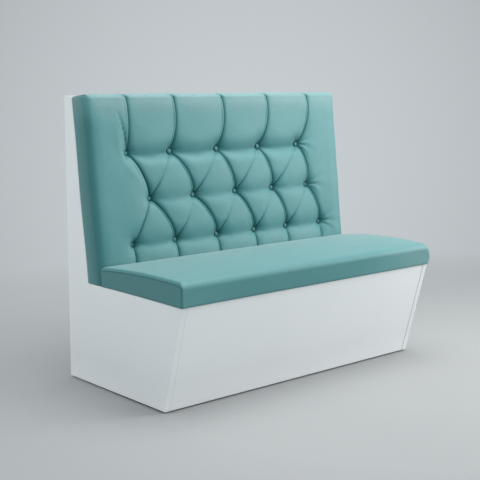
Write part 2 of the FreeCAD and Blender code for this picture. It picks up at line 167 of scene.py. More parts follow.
class Finish(Recipe):
    """A material, built up from its nodes."""

    def __init__(self, name):
        self.material = bpy.data.materials.new(name)
        self.material.use_nodes = True
        super().__init__(self.material.node_tree)
        self.tree.nodes.clear()
        self.place = self.node("ShaderNodeTexCoord", {}, {}, "Object")

    def stretched(self, scale):
        """Places drawn out along the grain."""
        return self.node("ShaderNodeMapping", {}, {"Vector": self.place, "Scale": scale})

    def noise(self, scale, detail, rough, at=None, warp=0.0):
        inputs = {"Vector": at or self.place, "Scale": scale, "Detail": detail}
        inputs |= {"Roughness": rough, "Distortion": warp}
        return self.node("ShaderNodeTexNoise", {}, inputs)

    def cells(self, scale):
        inputs = {"Vector": self.place, "Scale": scale}
        return self.node("ShaderNodeTexVoronoi", {}, inputs, "Distance")

    def ramp(self, value, *stops):
        return self.node("ShaderNodeValToRGB", {"stops": stops}, {"Fac": value})

    def blend(self, share, first, second):
        """Two colours mixed by a share."""
        inputs = {0: share, 6: first, 7: second}
        return self.node("ShaderNodeMix", {"data_type": "RGBA"}, inputs, 2)

    def axis(self, name):
        return self.node("ShaderNodeSeparateXYZ", {}, {"Vector": self.place}, name)

    def drawn(self, name):
        """A value painted on the mesh, such as how deep in a fold a point lies."""
        return self.node("ShaderNodeAttribute", {"attribute_name": name}, {}, "Fac")

    def bumped(self, height, depth, strength, over=None):
        inputs = {"Height": height, "Distance": depth, "Strength": strength}
        if over:
            inputs["Normal"] = over
        return self.node("ShaderNodeBump", {}, inputs)

    def surface(self, **inputs):
        """The finished material, from the inputs of its shader."""
        named = {name.replace("_", " "): value for name, value in inputs.items()}
        return self.shown(self.node("ShaderNodeBsdfPrincipled", {}, named))

    def shown(self, shader):
        """The finished material, with this shader on its surface."""
        output = self.tree.nodes.new("ShaderNodeOutputMaterial")
        self.tree.links.new(shader.socket, output.inputs["Surface"])
        return self.material


def colour(red, green, blue):
    return (red, green, blue, 1.0)


def vinyl_finish():
    """Satin upholstery vinyl: fine pebbled grain, with painted shade in folds and painted
    highlights.
    """
    cloth = Finish("teal_vinyl")
    tone, deep = colour(0.067, 0.222, 0.227), colour(0.0, 0.122, 0.127)
    pale, highlight_tone = colour(0.096, 0.264, 0.269), colour(0.155, 0.28, 0.285)
    pebbles = cloth.cells(900.0)
    creases = cloth.noise(420.0, 4.0, 0.6)
    clouds = cloth.noise(3.2, 3.0, 0.5)
    scuffs = cloth.noise(14.0, 5.0, 0.62, warp=0.4)
    specks = cloth.noise(150.0, 2.0, 0.7)
    fold = cloth.drawn("fold")
    shade = cloth.blend(cloth.ramp(clouds, (0.3, 0.0), (0.7, 1.0)) * 0.35, tone, pale)
    # Painted highlight where the fold paint is below zero, and painted shade in folds where it is
    # above zero
    shade = cloth.blend((fold * -1.0).clamped(), shade, highlight_tone)
    shade = cloth.blend(fold.clamped(), shade, deep)
    shade = cloth.blend(cloth.ramp(creases, (0.35, 0.16), (0.6, 0.0)), shade, deep)
    shade = cloth.blend(cloth.ramp(specks, (0.3, 0.14), (0.62, 0.0)), shade, deep)
    grain = cloth.bumped(pebbles * 0.7 + creases * 0.5 + specks * 1.6, 0.00022, 0.6)
    return cloth.surface(
        Base_Color=shade,
        Roughness=0.43 + 0.1 * scuffs + 0.06 * creases,
        Specular_IOR_Level=0.5,
        Sheen_Weight=0.4,
        Sheen_Roughness=0.35,
        Normal=cloth.bumped(scuffs, 0.0008, 0.25, grain),
    )


def laminate_finish(name, joint_x):
    """White laminated board: satin, faintly pebbled, painted light paler at its foot, dark at its
    joint.
    """
    board = Finish(name)
    peel = board.noise(260.0, 2.0, 0.5)
    smears = board.noise(2.6, 5.0, 0.6, warp=0.8)
    smeared = board.ramp(smears, (0.35, 0.0), (0.75, 1.0)) * 0.5
    # Painted light: the board is painted paler towards the floor
    painted_foot_light = (1.0 - board.axis("Z") * 9.0).clamped() ** 1.6
    from_joint = (joint_x - board.axis("X")) * 1000.0
    shade = board.blend(smeared, colour(0.775, 0.795, 0.8), colour(0.735, 0.755, 0.76))
    shade = board.blend(painted_foot_light * (0.75 + 0.4 * smears), shade, colour(0.92, 0.935, 0.935))
    shade = board.blend((2.6 - from_joint).clamped() * 0.92, shade, colour(0.12, 0.125, 0.13))
    return board.surface(
        Base_Color=shade,
        Roughness=0.3 + 0.16 * smears,
        Specular_IOR_Level=0.5,
        Normal=board.bumped(peel, 0.0002, 0.25),
    )


def timber_finish(name, pale, dark, grain_scale):
    """Planed timber, its rings drawn out along the length of the piece."""
    wood = Finish(name)
    grained = wood.stretched(grain_scale)
    rings = wood.noise(2.2, 4.0, 0.55, at=grained, warp=1.6)
    pores = wood.noise(46.0, 3.0, 0.6, at=grained)
    shade = wood.blend(wood.ramp(rings, (0.35, 0.0), (0.52, 0.35), (0.62, 1.0)), pale, dark)
    shade = wood.blend(wood.ramp(pores, (0.35, 0.3), (0.5, 0.0)), shade, dark)
    return wood.surface(
        Base_Color=shade,
        Roughness=0.58 + 0.16 * pores,
        Normal=wood.bumped(rings * 0.5 + pores, 0.0004, 0.4),
    )


def plywood_finish(name, normal):
    """Birch plywood: long grain on its faces, and glued plies striping its edges."""
    wood = Finish(name)
    ply = 0.0015
    figure = wood.noise(2.4, 5.0, 0.6, at=wood.stretched((1.2, 16.0, 16.0)), warp=1.1)
    depth = wood.vectors("DOT_PRODUCT", wood.place, normal)
    plies = depth.maths("PINGPONG", depth, ply) * (1.0 / ply)
    facing = wood.node("ShaderNodeNewGeometry", {}, {}, "True Normal")
    across = wood.vectors("DOT_PRODUCT", facing, normal)
    edge = 1.0 - (across * across).clamped()
    stripes = wood.ramp(plies, (0.35, 0.0), (0.6, 1.0)) * edge
    pale, dark = colour(0.64, 0.49, 0.31), colour(0.37, 0.25, 0.14)
    shade = wood.blend(wood.ramp(figure, (0.35, 0.0), (0.68, 1.0)) * 0.6, pale, dark)
    return wood.surface(
        Base_Color=wood.blend(stripes * 0.75, shade, dark),
        Roughness=0.6 + 0.14 * figure,
        Normal=wood.bumped(figure, 0.0005, 0.3),
    )


def foam_finish():
    """Cut open-cell foam, pitted all over and slightly yellowed."""
    foam = Finish("cream_foam")
    pits = foam.cells(420.0)
    clouds = foam.noise(9.0, 3.0, 0.5)
    shade = foam.blend(clouds, colour(0.82, 0.75, 0.55), colour(0.87, 0.82, 0.66))
    pitted = foam.ramp(pits, (0.1, 0.45), (0.5, 0.0))
    return foam.surface(
        Base_Color=foam.blend(pitted, shade, colour(0.5, 0.43, 0.28)),
        Roughness=0.85 + 0.1 * clouds,
        Normal=foam.bumped(pits, 0.0012, 0.7),
    )


def steel_finish():
    """Zinc-plated steel, with soft spangles and a few rubbed marks."""
    steel = Finish("zinc_plated_steel")
    spangle = steel.cells(240.0)
    rubs = steel.noise(90.0, 4.0, 0.65, warp=0.5)
    return steel.surface(
        Base_Color=steel.blend(spangle * 0.8, colour(0.6, 0.61, 0.62), colour(0.47, 0.48, 0.5)),
        Metallic=0.95,
        Roughness=0.3 + 0.25 * rubs,
        Normal=steel.bumped(rubs, 0.0002, 0.4),
    )


def twine_finish():
    """Flat woven nylon, in a fine fuzzy weave."""
    tie = Finish("nylon_tie")
    weave = tie.noise(1500.0, 2.0, 0.5)
    fuzz = tie.noise(300.0, 4.0, 0.6)
    return tie.surface(
        Base_Color=tie.blend(weave, colour(0.7, 0.66, 0.55), colour(0.84, 0.81, 0.72)),
        Roughness=0.7 + 0.2 * fuzz,
        Normal=tie.bumped(weave, 0.0003, 0.6),
    )


teal = vinyl_finish()
pine = colour(0.66, 0.5, 0.3), colour(0.42, 0.27, 0.13)
beech = colour(0.62, 0.44, 0.27), colour(0.45, 0.29, 0.16)
past_every_board = 9.0
laminate = laminate_finish("white_laminate_satin", past_every_board)
front_laminate = laminate_finish("white_laminate_front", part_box("front_panel")[1].x)
timber = timber_finish("planed_pine", *pine, (1.4, 22.0, 22.0))
peg_timber = timber_finish("turned_beech", *beech, (22.0, 22.0, 1.4))
foam = foam_finish()
steel = steel_finish()
twine = twine_finish()
level_plies = plywood_finish("plywood_level", (0.0, 0.0, 1.0))
leaning_plies = plywood_finish("plywood_leaning", tuple(off_slope))
rib_plies = plywood_finish("plywood_rib", (1.0, 0.0, 0.0))

node_finishes = (
    (laminate, "end_panel_left end_panel_right rear_panel top_cap"),
    (front_laminate, "front_panel"),
    (level_plies, "seat_deck seat_board"),
    (leaning_plies, "back_board"),
    (rib_plies, "centre_rib"),
    (peg_timber, "seat_pegs"),
    (twine, "button_ties"),
    (timber, "floor_rail_front floor_rail_rear seat_rail_front seat_rail_rear foot_blocks"),
    (timber, "back_plank_lower back_plank_upper back_cleat_lower back_cleat_upper"),
    (timber, "pad_cleat_lower pad_cleat_upper tie_toggles"),
    (steel, "foot_front_left foot_rear_left foot_front_right foot_rear_right"),
)
for finish, names in node_finishes:
    for name in names.split():
        nodes[name].data.materials.clear()
        nodes[name].data.materials.append(finish)


# Making pieces


def placed(name, data):
    """An object in the scene."""
    made = bpy.data.objects.new(name, data)
    scene.collection.objects.link(made)
    return made


def meshed(name, mesh):
    """An object in the scene, from a bmesh."""
    data = bpy.data.meshes.new(name)
    mesh.to_mesh(data)
    mesh.free()
    return placed(name, data)


def piece(name, mesh, body, material, smooth=True):
    """Turns a bmesh into a piece that rides on a body."""
    made = meshed(name, mesh)
    made.data.materials.append(material)
    if smooth:
        made.data.shade_smooth()
    else:
        made.data.shade_flat()
    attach(made, body)
    return made


def paint(made, name, values):
    """Writes one value for each vertex of a piece as a named attribute."""
    drawn = made.data.attributes.new(name, "FLOAT", "POINT")
    drawn.data.foreach_set("value", np.asarray(values, np.float32))


def draped_grid(places):
    """A grid of quads, as many as the table of places has gaps, moved to those places."""
    across, up = places.shape[0] - 1, places.shape[1] - 1
    mesh = bmesh.new()
    bmesh.ops.create_grid(mesh, x_segments=across, y_segments=up, size=0.5)
    for vert in mesh.verts:
        i = round((vert.co.x + 0.5) * across)
        j = round((vert.co.y + 0.5) * up)
        vert.co = places[i, j]
    return mesh


def table_order(mesh, shape):
    """For each vertex of a draped grid, in its own order, its column and row."""
    return np.unravel_index([vert.index for vert in mesh.verts], shape[::-1])[::-1]


def grid_normals(places):
    """The direction across both ways of a table, at each of its places."""
    normal = np.cross(np.gradient(places, axis=0), np.gradient(places, axis=1))
    return normal / np.maximum(np.linalg.norm(normal, axis=2, keepdims=True), 1e-12)


def boundary(mesh):
    return [edge for edge in mesh.edges if edge.is_boundary]


def cover(name, places, shade, body, step, moves):
    """A cover from its table of places, carried on round its inside and closed there.

    The open edge takes one step for each of the moves. The painted shade and painted highlight
    of the cover are written on it as "fold", and its inside is left plain.
    """
    mesh = draped_grid(places)
    outside = shade[table_order(mesh, shade.shape)]
    for move in moves:
        grown = bmesh.ops.extrude_edge_only(mesh, edges=boundary(mesh))["geom"]
        for vert in grown:
            if isinstance(vert, bmesh.types.BMVert):
                vert.co = step(vert.co, *move)
    bmesh.ops.contextual_create(mesh, geom=boundary(mesh))
    inside = np.zeros(len(mesh.verts) - len(outside))
    bmesh.ops.recalc_face_normals(mesh, faces=mesh.faces)
    made = piece(name, mesh, body, teal)
    paint(made, "fold", np.concatenate([outside, inside]))
    return made


# Curves


def within(share):
    """A share kept between 0 and 1."""
    return np.clip(share, 0.0, 1.0)


def eased(share):
    """A share that starts and ends softly."""
    share = within(share)
    return share * share * (3.0 - 2.0 * share)


def close_to(off, start, fade):
    """1 up to where the fade starts, and softly down to 0 over its length."""
    return 1.0 - eased((off - start) / fade)


def bell(off, width):
    """1 on a line, falling softly to nothing on both sides of it."""
    return np.exp(-((off / width) ** 2))


def arch(share):
    """1 at the middle of a span, falling to 0 at both its ends."""
    return 4.0 * share * (1.0 - share)


def steps(count):
    """Even shares of a way, without its start."""
    return np.linspace(0, 1, count + 1)[1:]


def crowded(count, pull):
    """Shares from 0 up to 1, closer together at both ends as the pull grows, without the 1."""
    even = np.linspace(0.0, 1.0, count + 1)
    return (even - pull * np.sin(2.0 * np.pi * even) / (2.0 * np.pi))[:-1]


def weights(part):
    """How much each of four entries in line counts for a place between the middle two."""
    square, cube = part * part, part**3
    return (
        0.5 * (-cube + 2 * square - part),
        0.5 * (3 * cube - 5 * square + 2),
        0.5 * (-3 * cube + 4 * square + part),
        0.5 * (cube - square),
    )


def between(table, place):
    """The values of a table at places between its entries, smoothly."""
    most = np.array(table.shape[:2]) - 3
    corner = np.clip(np.floor(place).astype(int), 1, most)
    part = np.clip(place - corner, -1.0, 2.0)
    total = 0.0
    for i, across in enumerate(weights(part[..., 0])):
        for j, up in enumerate(weights(part[..., 1])):
            value = table[corner[..., 0] + i - 1, corner[..., 1] + j - 1]
            share = across * up
            total = total + (share if value.ndim == share.ndim else share[..., None]) * value
    return total


# The wrap: how a cover's flat pattern goes over the edges of its pad

roll_lost = 0.7


def past_flat(one, two):
    """How far past the flat of the face a point is each way, and the further of the two."""
    past_one = np.maximum(np.abs(one) - 1.0, 0.0)
    past_two = np.maximum(np.abs(two) - 1.0, 0.0)
    return past_one, past_two, np.maximum(past_one, past_two)


def wrapped(one, two, box, rolls, square):
    """The box form of a pad, reached from the flat pattern of its cover.

    A point of the pattern has two stages, one for each way across the pad. A stage is a
    place on the flat of the face from -1 to 1, or past it: 1 to 2 goes over the rolled
    edge, 2 to 3 down the side and 3 to 4 under the hem. The outcome is where the point
    lies in plan, how far the roll lets it fall, and its shares of the side and the hem.
    """
    left, right, near, far = box
    roll_left, roll_right, roll_near, roll_far = rolls
    past_one, past_two, stage = past_flat(one, two)
    part = np.pi / 4 * np.minimum(past_one, past_two) / np.maximum(stage, 1e-9)
    angle = np.where(past_one >= past_two, part, np.pi / 2 - part)
    roll_one = np.where(one > 0, roll_right, roll_left)
    roll_two = np.where(two > 0, roll_far, roll_near)
    radius = roll_one * np.cos(angle)
    radius = radius + roll_two * (1.0 - np.sqrt(1.0 - np.sin(angle) ** (2.0 * square)))
    over = within(stage) * np.pi / 2
    under = within(stage - 2.0)
    flat_near, flat_far = near + roll_near, far - roll_far
    low = left + roll_left + under * (hem - roll_lost * roll_left)
    high = right - roll_right - under * (hem - roll_lost * roll_right)
    first = low + (high - low) * (np.clip(one, -1, 1) + 1.0) / 2.0
    flat_two = (flat_far - flat_near) / 2 - under * (hem - roll_lost * roll_two)
    second = (flat_far + flat_near) / 2 + np.clip(two, -1, 1) * flat_two
    swing = np.sin(over) * (1.0 - roll_lost * under)
    turned_one = np.cos(angle) ** square * (past_one > 0)
    turned_two = np.sin(angle) ** square * (past_two > 0)
    first = first + np.sign(one) * turned_one * roll_one * swing
    second = second + np.sign(two) * turned_two * roll_two * swing
    fall = radius * (1.0 - np.cos(over))
    return first, second, fall, within(stage - 1.0), under


# Simulated cloth: a cover is pressed out from inside and held along its seams

cloth_settings = {"quality": 6, "mass": 0.4, "vertex_group_mass": "held"}
cloth_settings |= {"use_pressure": True, "uniform_pressure_force": 4.0}
cloth_frames, widest_share = 20, 0.97


def pressed_out(places, held, most, columns, rows):
    """How each point of a cover moves as cloth, with the whole movement eased to a limit.

    The table of places is coarser than the cover. Its movement is read between its
    entries, at the given columns and rows.
    """
    mesh = draped_grid(places)
    order = table_order(mesh, places.shape[:2])
    pattern = meshed("cloth_pattern", mesh)
    pins = pattern.vertex_groups.new(name="held")
    for index, firm in enumerate(held[order]):
        pins.add([index], float(firm), "REPLACE")
    cloth = pattern.modifiers.new("cloth", "CLOTH")
    for name, setting in cloth_settings.items():
        setattr(cloth.settings, name, setting)
    cloth.settings.effector_weights.gravity = 0.0
    cloth.point_cache.frame_end = cloth_frames
    for step in range(1, cloth_frames + 1):
        scene.frame_set(step)
    posed = pattern.evaluated_get(bpy.context.evaluated_depsgraph_get()).data
    flat = np.empty(len(posed.vertices) * 3, np.float32)
    posed.vertices.foreach_get("co", flat)
    moves = np.zeros(places.shape)
    moves[order] = flat.reshape(-1, 3) - places[order]
    data = pattern.data
    bpy.data.objects.remove(pattern)
    bpy.data.meshes.remove(data)
    scene.frame_set(1)
    far = np.linalg.norm(moves, axis=-1, keepdims=True)
    moves = moves * most / np.quantile(far, widest_share)
    far = np.linalg.norm(moves, axis=-1, keepdims=True)
    moves = moves / (1.0 + (far / (2.0 * most)) ** 2)
    return between(moves, np.stack(np.meshgrid(columns, rows, indexing="ij"), axis=-1))


# Back pad: its measures, and where its folds run

back_points = [upright(vert.co) for vert in nodes["back_cover"].data.vertices]
front_out = max(p.y for p in back_points)
top_rise = max(p.z for p in back_points)
left_roll, right_roll, foot_roll, top_roll = 0.024, 0.011, 0.003, 0.018
back_square = 0.6
rear_out, board_out, foam_out = 0.0004, 0.002, 0.045
foot_out, foot_fade = 0.0002, 0.06
calm_rise, calm_fade = 0.07, 0.03
back_swell = 0.004
back_waist, right_waist_share = 0.003, 0.3
foot_waist, foot_waist_rise = 0.006, 0.34
left_waist, left_waist_rise = 0.003, 0.3
puff, puff_margin = 0.003, 0.06
corner_crease, side_crease = 0.0055, 0.35
button_seat, seat_reach, seat_fade, deepest = 0.0372, 0.0076, 0.0036, 0.0402
face_rise = top_rise - top_roll
face_centre, half_face = (face_rise + foot_roll) / 2, (face_rise - foot_roll) / 2
roll_run = top_roll * math.pi / 2
pattern_top = face_rise + roll_run + front_out - top_roll

top_fold_places = (-0.45, -0.234, 0.004, 0.238, 0.468)
top_fold_bows = (0.005, 0.013, 0.017, 0.021, 0.024)
bottom_fold_shifts = (-0.006, -0.004, -0.007, -0.01, -0.011, -0.016)
strong_bows = (0.014, 0.02, 0.012, 0.013, 0.017)
slack_bows = (-0.003, -0.002, -0.003, -0.003, -0.003)
lower_strong_bows = (0.015, 0.017, 0.014, 0.013, 0.011)
lower_slack_bows = (-0.002, 0.003, 0.0, 0.0, 0.0)

# For each kind of fold, at its top, middle and bottom: how far it is pulled in, and how
# deep its crease is. Then how firmly it is held.
fold_kinds = {
    "top": ((0.004, 0.008, 0.03), (0.006, 0.0075, 0.0095), 1.0),
    "hook": ((0.0015, 0.003, 0.004), (0.005, 0.0055, 0.006), 1.0),
    "rear": ((0.0, 0.001, 0.0015), (0.0012, 0.003, 0.005), 1.0),
    "strong": ((0.029, 0.0125, 0.029), (0.0095, 0.0078, 0.0095), 1.0),
    "lower_strong": ((0.029, 0.0125, 0.029), (0.0095, 0.0078, 0.009), 1.0),
    "slack": ((0.027, 0.0055, 0.028), (0.0026, 0.0028, 0.0084), 0.1),
    "lower_slack": ((0.027, 0.007, 0.028), (0.0008, 0.0018, 0.0092), 0.12),
    "first_slack": ((0.027, 0.007, 0.028), (0.0045, 0.0056, 0.0088), 0.12),
    "bottom": ((0.028, 0.013, 0.012), (0.0085, 0.0072, 0.0066), 1.0),
    "tuck": ((0.002, 0.008, 0.026), (0.001, 0.0072, 0.0108), 1.0),
}

# Where a fold over the top edge goes on, to its hook and behind it, and how the tuck runs
hook_left, hook_rise, hook_bow = 0.021, 0.017, 0.0053
rear_left, rear_rise = 0.026, 0.016
tuck_start, tuck_left, tuck_rise, tuck_bow = (-0.496, 0.602), 0.006, 0.012, 0.004
crease_gain, crease_end, crease_end_share = 1.22, 0.012, 0.6
crease_left, crease_right, crease_steep = 0.0022, 0.0046, 1.4
lip_height, lip_off, lip_width = 0.3, 0.0058, 0.003
dip_depth, dip_off, dip_width = 0.12, 0.0118, 0.0016

# For each row of buttons: how far its valleys sag between them, how deep a valley is held,
# and how far the stuffing slumps above it
row_valleys = (
    (upper, 0.017, 0.0115, 0.0095),
    (middle, 0.01, 0.007, 0.0036),
    (lower, 0.008, 0.008, 0.0045),
)
slump_above, slump_below, slump_past, slump_first, slump_last = 0.034, 0.022, 0.02, 0.09, 0.04
valley_end, valley_firm, valley_steep = 0.034, 0.014, 1.2
valley_lanes = (-0.01, -0.005, 0.0, 0.005, 0.01)
top_edge_holds = ((0.0, 0.02), (roll_run / 2, 0.3), (roll_run, 0.5))
pin_gap = 0.001
button_rings, ring_pins, ring_depth, ring_firm = (0.002, 0.005, 0.0085), 40, 0.037, 3.0
sheet_cell, foam_reach, sheet_rounds, sheet_haste = 0.0025, 0.028, 160, 1.8
sheet_end, sheet_foot, sheet_spare = 0.72, -0.1, 0.02


def bowed(start, end, bow):
    """A line from one point down to another that bows to the right."""
    (x0, v0), (x1, v1) = start, end

    def at(v):
        share = within((v - v0) / (v1 - v0))
        return x0 + (x1 - x0) * share + bow * arch(share)

    return at


def joined(points, bows):
    """Bowed lines end to end, from the top of the pattern to its bottom."""
    spans = [bowed(a, b, bow) for a, b, bow in zip(points, points[1:], bows)]

    def at(v):
        place = spans[0](v)
        for span, (_, level) in zip(spans[1:], points[1:]):
            place = np.where(v < level, span(v), place)
        return place

    return at


def fold_columns():
    """The lines of the pattern that its columns follow, two for each middle button."""
    past_last, half_gap = 0.07, 0.0012
    columns = []
    for i, button in enumerate(middle):
        for side in (0, 1):
            k = i + side
            last = k == len(upper)
            head = upper[-1].x + past_last if last else upper[k].x
            crest = top_fold_places[-1] + past_last if last else top_fold_places[k]
            split = half_gap * (1 - 2 * side)
            points = [
                (crest + split, pattern_top),
                (crest + split, face_rise),
                (head + split, upper[0].z),
                (button.x - split, button.z),
                (lower[k].x + split, lower[0].z),
                (lower[k].x + bottom_fold_shifts[k] + split, 0.0),
            ]
            bow = top_fold_bows[min(k, len(upper) - 1)]
            pair = (slack_bows, lower_strong_bows) if side else (strong_bows, lower_slack_bows)
            columns.append(joined(points, [0.0, bow, pair[0][i], pair[1][i], 0.0]))
    return columns


def through(values, share):
    """A curve through three values, at the top, the middle and the bottom of a fold."""
    top, centre, bottom = values
    rest = 1.0 - share
    ends = top * rest * (1.0 - 2.0 * share) + bottom * share * (2.0 * share - 1.0)
    return ends + centre * arch(share)


def pinned(u, v, deep, firm):
    """Pins at points of the pattern: how deep they are held there, and how firmly."""
    return np.stack(np.broadcast_arrays(u, v, deep, firm), axis=1)


class Fold:
    """One fold of the buttoning, from its top down to its bottom."""

    def __init__(self, kind, start, end, bow):
        self.at = bowed(start, end, bow)
        self.top = start[1]
        self.bottom = end[1]
        self.sink, self.crease, self.firm = fold_kinds[kind]

    def pins(self):
        """Points along the fold, with how deep they are held and how firmly."""
        v = np.linspace(self.bottom, self.top, int((self.top - self.bottom) / pin_gap))
        share = (self.top - v) / (self.top - self.bottom)
        return pinned(self.at(v), v, through(self.sink, share), self.firm)

    def pressed(self, u, v):
        """How deep the crease is near its line: steep on its left, easier on its right."""
        slope = (self.at(v + 0.0005) - self.at(v - 0.0005)) / 0.001
        off = (u - self.at(v)) / np.sqrt(1.0 + slope * slope)
        left = np.exp(-np.abs(np.minimum(off, 0.0) / crease_left) ** crease_steep)
        right = np.exp(-np.maximum(off, 0.0) / crease_right)
        lip = lip_height * bell(off + lip_off, lip_width)
        lip = lip - dip_depth * bell(off + dip_off, dip_width)
        share = within((self.top - v) / (self.top - self.bottom))
        deep = np.maximum(through(self.crease, share), 0.0)
        ends = eased((v - self.bottom) / crease_end + crease_end_share)
        ends = ends * eased((self.top - v) / crease_end + crease_end_share)
        return crease_gain * deep * ends * (np.where(off < 0.0, left, right) - lip)


def spot(row, i):
    """Where a button lies on the pattern."""
    return row[i].x, row[0].z


def folds():
    """Every fold: over the top edge, from button to button, and down behind the seat."""
    runs = []
    for i, (crest, bow) in enumerate(zip(top_fold_places, top_fold_bows)):
        brow = (crest, face_rise)
        hook = (crest - hook_left, face_rise + hook_rise)
        rear = (crest - rear_left, face_rise + roll_run + rear_rise)
        runs += [("top", brow, spot(upper, i), bow), ("hook", hook, brow, hook_bow)]
        runs += [("rear", rear, hook, 0.0)]
    for i in range(len(middle)):
        here = spot(middle, i)
        lower_slack = "lower_slack" if i else "first_slack"
        runs += [
            ("strong", spot(upper, i), here, strong_bows[i]),
            ("lower_strong", here, spot(lower, i + 1), lower_strong_bows[i]),
            (lower_slack, here, spot(lower, i), lower_slack_bows[i]),
        ]
        if i + 1 < len(upper):
            runs += [("slack", spot(upper, i + 1), here, slack_bows[i])]
    for i, shift in enumerate(bottom_fold_shifts):
        runs += [("bottom", spot(lower, i), (lower[i].x + shift, 0.0), 0.0)]
    tuck_end = (upper[0].x - tuck_left, upper[0].z + tuck_rise)
    runs += [("tuck", tuck_start, tuck_end, tuck_bow)]
    return [Fold(*run) for run in runs]


def valley_pins():
    """The soft hollows from button to button along each row, and the hold of the top edge."""
    pins = []
    for row, sag, sink, _ in row_valleys:
        for left, right in zip(row, row[1:]):
            share = np.linspace(0.1, 0.9, int((right.x - left.x) / pin_gap))
            dip = arch(share)
            deep = sink + (valley_end - sink) * (1.0 - dip) ** valley_steep
            u = left.x + (right.x - left.x) * share
            for lane in valley_lanes:
                pins.append(pinned(u, left.z - sag * dip + lane * dip, deep, valley_firm))
    edge = np.arange(-half_pad, half_pad, pin_gap)
    for run, firm in top_edge_holds:
        pins.append(pinned(edge, face_rise + run, 0.0, firm))
    return pins


def button_pins():
    """Rings of pins under each button, held at full depth."""
    turn = np.linspace(0.0, 2.0 * np.pi, ring_pins, endpoint=False)
    return [
        pinned(place.x + ring * np.cos(turn), place.z + ring * np.sin(turn), ring_depth, ring_firm)
        for place in button_places
        for ring in button_rings
    ]


def stretched_sheet(low, high, pins):
    """A cover stretched over foam, pulled in where pins hold it, as a table of depths."""
    shape = tuple(np.ceil((high - low) / sheet_cell).astype(int) + 1)
    held, pull, depth = np.zeros(shape), np.zeros(shape), np.zeros(shape)
    place = (pins[:, :2] - low) / sheet_cell
    corner = np.floor(place).astype(int)
    part = place - corner
    for i in (0, 1):
        for j in (0, 1):
            share = np.abs(1 - i - part[:, 0]) * np.abs(1 - j - part[:, 1]) * pins[:, 3]
            at = (corner[:, 0] + i, corner[:, 1] + j)
            np.add.at(held, at, share)
            np.add.at(pull, at, share * pins[:, 2])
    foam_push = (sheet_cell / foam_reach) ** 2
    checker = np.indices(shape).sum(axis=0) % 2
    for turn in range(2 * sheet_rounds):
        wide = np.pad(depth, 1, mode="edge")
        around = wide[:-2, 1:-1] + wide[2:, 1:-1] + wide[1:-1, :-2] + wide[1:-1, 2:]
        rest = (around + 4.0 * pull) / (4.0 + 4.0 * held + foam_push)
        depth = depth + np.where(checker == turn % 2, sheet_haste * (rest - depth), 0.0)
    return depth


# Back pad: the cover

end_stages = np.concatenate([steps(7), 1 + steps(10), 2 + steps(3)])
side_columns, panel_columns, panel_pull = 26, 38, 0.55
face_row, row_pull = 0.004, 0.45
coarse_column, coarse_row = 4, 3
corner_seam_width, seam_turn = 0.0022, 0.02

# The raised edge of the smooth margin: its place at each of five levels
ridge_levels = (0.33, 0.37, 0.42, 0.5, 0.57)
ridge_places = (-0.405, -0.432, -0.474, -0.5, -0.496)
ridge_height, ridge_width, ridge_foot, ridge_head, ridge_fade = 0.0022, 0.02, 0.33, 0.58, 0.06

# The short creases at a button: which way they face, how long and how strong they are
last_rays, other_rays = (0.1, 0.032, 1.0), (0.9, 0.018, 0.7)
ray_start, ray_depth, wide_wander, fine_wander = 0.01, 0.0042, 0.0008, 0.0002

# Where the cloth is held: in creases from this depth on, and near buttons and edges, each
# with a reach and a fade
held_crease, held_reach, held_edge = 0.004, (0.012, 0.02), (0.005, 0.07)
still_reach = (0.01, 0.012)

# The painted shade: its share in creases, pulled-in places and hollows, and how much of it the
# lit side of a button loses; how strong the painted highlight is on the top edge and the crests;
# and how dark the band of painted shade down the left edge is
crease_dark, sunk_dark, hollow_dark, lit_share = 0.9, 0.6, 24.0, 0.85
top_highlight, crest_highlight, band_dark = 0.85, 0.16, 0.72


def level_rows(low, high):
    """The levels of the rows between two rises of the face."""
    count = max(2, round((high - low) / face_row))
    return low + (high - low) * crowded(count, row_pull)


def unrolled(stage, roll):
    """How far past the flat of the face a stage is, along the cover."""
    side = within(stage - 1.0) * (front_out - roll)
    return np.minimum(stage, 1.0) * roll * math.pi / 2 + side


def back_pattern():
    """The flat pattern: both stages of each point, and its place along and up the face."""
    levels = (foot_roll, lower[0].z, middle[0].z, upper[0].z, face_rise)
    face = [level_rows(low, high) for low, high in zip(levels, levels[1:])] + [[face_rise]]
    rows = np.concatenate([-end_stages[::-1], *face, end_stages])
    ends = np.arange(len(rows))
    parts = [ends < len(end_stages), ends >= len(rows) - len(end_stages)]
    past_foot = foot_roll - unrolled(-rows, foot_roll)
    past_top = face_rise + unrolled(rows, top_roll)
    v = np.select(parts, [past_foot, past_top], rows)
    two = np.select(parts, [rows - 1, rows + 1], (rows - face_centre) / half_face)
    left, right = left_roll - half_pad, right_end - right_roll
    lines = [line(v) for line in fold_columns()]
    stops = np.array([np.full(v.shape, left), *lines, np.full(v.shape, right)])
    side, panel = crowded(side_columns, 0.0), crowded(panel_columns, panel_pull)
    shares = [side] + [panel] * (len(lines) - 1) + [side]
    spans = zip(stops, stops[1:], shares)
    inner = np.vstack([a + (b - a) * share[:, None] for a, b, share in spans] + [stops[-1:]])
    edge = end_stages[:, None] * np.ones(v.shape)
    one = np.vstack([-1 - edge[::-1], 2 * (inner - left) / (right - left) - 1, 1 + edge])
    past_left, past_right = unrolled(edge[::-1], left_roll), unrolled(edge, right_roll)
    u = np.vstack([left - past_left, inner, right + past_right])
    return one, np.broadcast_to(two, one.shape), u, np.broadcast_to(v, one.shape)


